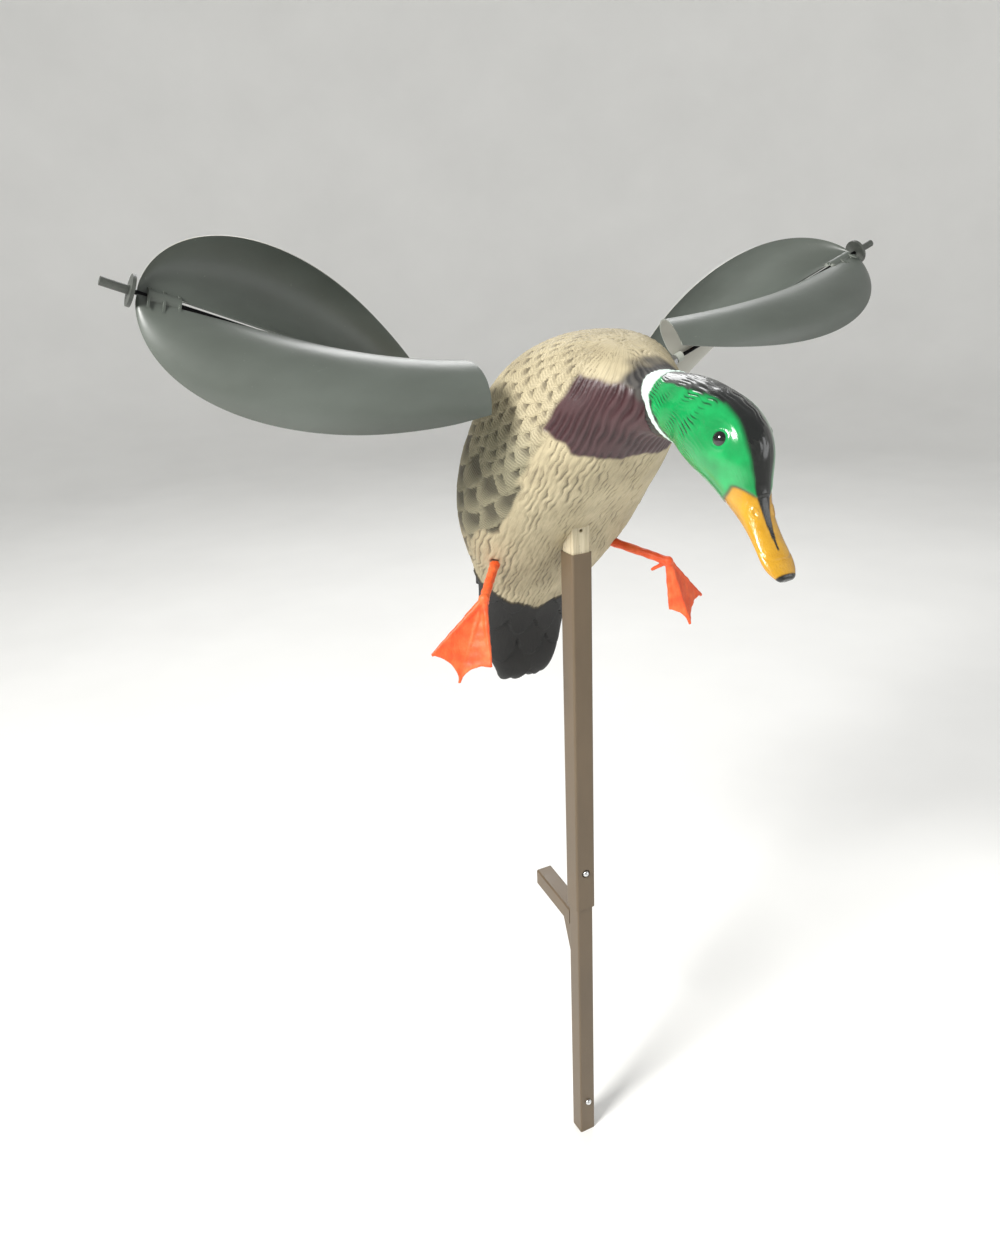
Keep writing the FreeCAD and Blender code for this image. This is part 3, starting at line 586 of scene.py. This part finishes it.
def make_body():
    mesh = outer_skin("body_skin", "body_shell", 1.25 * MM)
    places = read(mesh, "co") * 1000
    normals = read(mesh, "normal")
    along, turn = body_place(places)
    flat = 180 - np.abs(turn)
    breast, neck, rump, plume, ring = body_masks(places, along, turn)

    across = np.radians(turn) * EVEN_RADIUS
    shifted, turned = along + 1.5 * waves(places, 40, 7), turn + 2 * waves(places, 30, 8)
    small, _, _ = feathers(shifted, turned, *SMALL_FEATHER)
    large, _, _ = feathers(shifted, turned, *LARGE_FEATHER)
    shoulder = step(30 - along, 0, 20)
    feather = small * shoulder + large * (1 - shoulder) * 0.8
    depth = 3.4 * shoulder * (0.6 + 0.4 * step(flat, 55, 85)) + 2.4 * (1 - shoulder)

    hair_across = across + 2.0 * waves(places, 30, 11) + 1.1 * waves(places, 12, 12)
    hair = np.cos(2 * math.pi * hair_across / GROOVE_PITCH)
    strands = ((1 + hair) / 2) ** 2.2 * np.clip(0.78 + 0.6 * waves(places, 17, 13), 0.1, 1)
    coarse_across = across + 1.3 * waves(places, 44, 14) + 0.7 * waves(places, 15, 16)
    coarse = np.cos(2 * math.pi * coarse_across / RIDGE_PITCH)
    ridges = ((1 + coarse) / 2) ** 1.5 * np.clip(0.7 + 0.6 * waves(places, 24, 15), 0.15, 1)

    tail_feather, _, _ = feathers(along, turn, *TAIL_FEATHER)
    bare = 1 - np.clip(plume + rump, 0, 1)
    relief_mm = plume * (1 - rump) * (feather - 0.5) * depth
    relief_mm -= bare * (1 - breast) * (strands * 0.95 - 0.2) * (1 - 0.3 * neck)
    relief_mm -= bare * breast * (ridges * 1.25 - 0.3)
    relief_mm += rump * (tail_feather - 0.6) * 3.4
    relief_mm += ring * 0.5
    relief_mm -= 0.9 * np.exp(-((rump - 0.5) / 0.22) ** 2) * (1 - plume)

    level = plume * np.clip((feather - 0.5) * 2.1, 0, 1)
    level = level + bare * (1 - breast) * (1 - strands) + bare * breast * (1 - ridges)
    pit = leg_pit(places, along)
    relief_mm -= PIT_DEPTH * pit
    moved = places + normals * relief_mm[:, None]
    lobes = np.abs(np.sin(math.pi * places[:, 0] / LOBE_WIDTH)) ** 0.7
    tail_end = step(along, along.max() - LOBE_REACH, along.max())
    moved -= BODY_AXIS * (LOBE_DEPTH * (1 - lobes) * tail_end)[:, None]
    lowest, highest = [np.array(corner) * 1000 for corner in cad_box]
    moved = np.clip(moved, lowest + 0.05, highest - 0.05)
    write_places(mesh, moved * MM)
    flank = plume * step(along, -45, 0) * step(100 - along, 0, 20) * step(flat, 50, 90)
    for name, values in (("breast", breast), ("neck", neck), ("rump", rump), ("ring", ring),
                         ("relief", level), ("feathered", plume), ("flank", flank), ("pit", pit)):
        store(mesh, name, values)

    corners, face_of = corner_index(mesh)
    centre = np.zeros(len(mesh.polygons) * 3)
    mesh.polygons.foreach_get("center", centre)
    centre = centre.reshape(-1, 3) * 1000
    c_along, c_turn = body_place(centre)
    wrap = turn[corners] + 360 * np.round((c_turn[face_of] - turn[corners]) / 360)
    store_uv(mesh, "flow", np.stack([np.radians(wrap) * EVEN_RADIUS, along[corners]], 1) * MM)
    c_shift = 1.5 * waves(centre, 40, 7)
    c_turned = c_turn + 2 * waves(centre, 30, 8)
    for (pitch, pitch_turn, seed), everywhere in ((SMALL_FEATHER, True), (LARGE_FEATHER, False)):
        _, u, gap = feathers(c_along + c_shift, c_turned, pitch, pitch_turn, seed)
        width = np.radians(pitch_turn) * EVEN_RADIUS / 2
        local = np.stack([u * width, gap * pitch], 1)[face_of]
        local[:, 0] += np.radians(wrap - c_turn[face_of]) * EVEN_RADIUS
        local[:, 1] -= along[corners] - c_along[face_of]
        if everywhere:
            barbs = local
        else:
            near = (c_along > 20)[face_of]
            barbs[near] = local[near]
    store_uv(mesh, "barb", barbs * MM)
    mesh.materials.append(body_paint())
    piece = link_mesh("body_skin", mesh)
    finish_piece(piece, "decoy", "body_plastic", "body_shell")


HEAD_MID = np.array([0.0, -121.0, 731.0])
HEAD_AXIS = np.array([0.0, -126.0, -88.0]) / math.hypot(126, 88)
HEAD_BACK = np.array([0.0, -88.0, 126.0]) / math.hypot(126, 88)
HEAD_RADIUS = 22.0
COMB_PITCH = 2.7                     # grooves of the head, mm
RING_RIB_PITCH = 2.4
BILL_EDGE, NAIL_EDGE = 104.0, 147.3  # along the head, mm


def make_head():
    mesh = outer_skin("head_skin", "head", 0.8 * MM)
    places = read(mesh, "co") * 1000
    normals = read(mesh, "normal")
    rest = places - HEAD_MID
    along = rest @ HEAD_AXIS
    # the section's own middle lies above the straight line at the crown
    lift = np.interp(along, [-20, 20, 50, 75, 95, 115, 150], [8, 12, 14, 10, 4, 1, 0])
    over = rest @ HEAD_BACK - lift
    turn = np.degrees(np.arctan2(rest[:, 0], -over))
    flat = 180 - np.abs(turn)
    ring_way = ring_distance(places)
    wander = waves(places, 9, 21)

    ring = step(ring_way, -4.0, -3.2) * (1 - step(ring_way, 0.1, 0.8))
    green_start = 2.6 + 1.2 * wander
    crown = np.interp(along, [0, 15, 30, 50, 66, 80, 95, 105], [50, 38, 26, 17, 16, 18, 17, 17])
    dark = 1 - step(flat - crown + 2.5 * waves(places, 7, 22) * step(60 - along, 0, 30), -4, 4)
    nape = (1 - step(ring_way, green_start - 2, green_start + 1)) * (1 - ring)
    nape = np.maximum(nape, (1 - step(along, 18, 45)) * dark)
    edge = BILL_EDGE - 13.5 * step(flat, 15, 60) - 2.5 * step(flat, 60, 120) - 3.0 * step(flat, 120, 180)
    bill = step(along - edge, -0.6, 0.6)
    seam = np.exp(-((along - edge + 0.2) / 1.1) ** 2) * step(flat, 16, 24) * 0.75
    stripe = np.interp(along, [95, 104, 112, 124, 136, 140], [17, 19, 16, 17, 12, 0])
    culmen = (1 - step(flat - stripe, -2.5, 2.5)) * step(along, 96, 100)
    nail = step(along - NAIL_EDGE, -0.5, 0.5)

    ridge_phase = np.radians(turn) * HEAD_RADIUS + 1.4 * waves(places, 18, 23)
    combed = ((1 + np.cos(2 * math.pi * ridge_phase / COMB_PITCH)) / 2) ** 1.5
    combed *= np.clip(0.55 + 0.6 * waves(places, 22, 24), 0.05, 1)
    combed_zone = (1 - step(along, 40, 75)) * (1 - ring)
    combed_zone = np.maximum(combed_zone, 0.5 * dark * (1 - step(along, 80, 100)))
    ribs = (1 + np.cos(2 * math.pi * np.radians(turn) * HEAD_RADIUS / RING_RIB_PITCH)) / 2
    relief_mm = -combed * 0.6 * combed_zone
    relief_mm += ring * (0.75 - 0.3 * ribs)
    relief_mm -= 0.55 * bill * (1 - step(along, 125, 140)) + 0.35 * seam
    side_x = np.abs(places[:, 0])
    nostril = np.sqrt((along - 110.0) ** 2 + ((flat - 39.0) * 0.3) ** 2)
    relief_mm += 0.55 * np.exp(-((nostril - 2.6) / 0.8) ** 2) - 0.7 * np.exp(-(nostril / 1.1) ** 2)
    mouth = np.exp(-((flat - 98.0) * 0.2 / 0.5) ** 2) * step(along, 100, 106) * (1 - step(along, 143, 146))
    relief_mm -= 0.35 * mouth
    relief_mm += 0.25 * np.exp(-((along - NAIL_EDGE - 0.8) / 1.2) ** 2)

    eye_low, eye_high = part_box("eye_right")
    eye = np.array((eye_low + eye_high) / 2) * 1000
    socket = np.sqrt((side_x + eye[0]) ** 2 + (places[:, 1] - eye[1]) ** 2 + (places[:, 2] - eye[2]) ** 2)
    relief_mm += 0.3 * np.exp(-((socket - 6.6) / 1.3) ** 2) - 0.25 * np.exp(-((socket - 4.8) / 0.9) ** 2)
    write_places(mesh, (places + normals * relief_mm[:, None]) * MM)
    level = 1 - combed * combed_zone - 0.5 * ring * ribs
    for name, values in (("dark", dark), ("nape", nape), ("bill", bill), ("seam", seam), ("ring", ring),
                         ("culmen", np.maximum(culmen, nail)), ("relief", level)):
        store(mesh, name, values)
    corners, face_of = corner_index(mesh)
    first = turn[corners][np.searchsorted(face_of, np.arange(face_of[-1] + 1))][face_of]
    wrap = turn[corners] + 360 * np.round((first - turn[corners]) / 360)
    store_uv(mesh, "flow", np.stack([np.radians(wrap) * HEAD_RADIUS, along[corners]], 1) * MM)
    mesh.materials.append(head_paint())
    finish_piece(link_mesh("head_skin", mesh), "decoy", "head_plastic", "head")


def finish_piece(piece, body, slot, *stands_for):
    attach(piece, body)
    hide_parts(*stands_for)


def make_leg(name):
    """Leg with its limbs and webs blended as one soft moulding."""
    mesh = even_mesh("soft_" + name, merged_copy(name), 0.7 * MM, 5)
    places = read(mesh, "co") * 1000
    normals = read(mesh, "normal")
    places += normals * (0.25 * waves(places, 7, 31) + 0.12)[:, None]
    write_places(mesh, places * MM)
    mesh.materials.append(LEG_VINYL)
    finish_piece(link_mesh("soft_" + name, mesh), "decoy", "leg_vinyl", name)


def make_wing(side, dark_side, pale_side, rim):
    """Wing sheet with its dark face, its pale face and the pale cut edge told apart."""
    node = "wing_" + side
    bm = merged_copy(node)
    groups = smooth_patches(bm, math.radians(40))
    middle = (Vector(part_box(node)[0]) + Vector(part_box(node)[1])) / 2
    sheets = groups[:2]
    facing = []
    for sheet in sheets:
        near = min(sheet, key=lambda f: (f.calc_center_median() - middle).length)
        facing.append(near.normal.dot(Vector((0, -0.6, 0.8))))
    dark = set(sheets[0] if facing[0] > facing[1] else sheets[1])
    pale = set(sheets[1] if facing[0] > facing[1] else sheets[0])
    for face in bm.faces:
        thin = min(edge.calc_length() for edge in face.edges) < 1.3 * MM and face.calc_area() < 2e-5
        face.material_index = 0 if face in dark else 1 if face in pale else 2 if thin else 0
        face.smooth = True
    for edge in bm.edges:
        edge.smooth = edge.calc_face_angle(0.0) < math.radians(30)
    mesh = bpy.data.meshes.new("painted_" + node)
    bm.to_mesh(mesh)
    bm.free()
    for material in (dark_side, pale_side, rim):
        mesh.materials.append(material)
    finish_piece(link_mesh("painted_" + node, mesh), node, "wing_plastic", node)


def cover(names, material):
    for name in names:
        mesh = nodes[name].data
        mesh.materials.clear()
        mesh.materials.append(material)


LEG_VINYL = leg_vinyl()
bpy.context.scene.view_settings.view_transform = "Standard"
aim_camera()
make_floor()
area_light("key", (-2.1, -0.75, 2.1), (0, 0, 0.65), 0.9, 104, (1.0, 0.99, 0.97))
area_light("fill", (1.6, -1.9, 1.2), (0, 0, 0.6), 1.4, 9, (0.97, 0.98, 1.0))
area_light("back", (0.9, 1.7, 2.2), (0, 0, 0.7), 1.2, 22, (1.0, 1.0, 1.0))
world = bpy.data.worlds.new("studio")
world.use_nodes = True
world.node_tree.nodes["Background"].inputs[0].default_value = (1.0, 1.0, 1.0, 1.0)
world.node_tree.nodes["Background"].inputs[1].default_value = 0.34
bpy.context.scene.world = world

make_body()
make_head()
for leg in ("leg_right", "leg_left"):
    make_leg(leg)
dark_face = wing_plastic("wing_dark_face", "#4e534d", "#5b615b", 0.34)
pale_face = wing_plastic("wing_pale_face", "#a5a49b", "#b4b3aa", 0.4)
cut_edge = wing_plastic("wing_cut_edge", "#8d918a", "#a4a8a0", 0.45)
for wing in ("right", "left"):
    make_wing(wing, dark_face, pale_face, cut_edge)
cover(["lower_tube", "upper_tube", "foot_peg", "peg_gusset"], painted_steel())
cover(["snap_button_lower", "snap_button_upper"], chrome())
cover(["button_clip_lower", "button_clip_upper"], spring_steel("blued_spring_strip", "#5a5c60"))
cover(["mounting_post"], post_paint())
cover(["rod_yoke"], dark_plastic("moulded_nylon_yoke", "#1b1c1b", "#262726", 0.5))
cover(["yoke_screw", "set_screw_right", "set_screw_left", "collar_right", "collar_left"],
      spring_steel("zinc_plated_fixings", "#a8a9aa"))
cover(["rod_right", "rod_left"], spring_steel("blackened_steel_rod", "#1d1d1e"))
cover(["end_cap_right", "end_cap_left"], dark_plastic("moulded_cap_plastic", "#3c3f3b", "#4b4e49", 0.45))
cover(["eye_right", "eye_left"], eye_gloss())
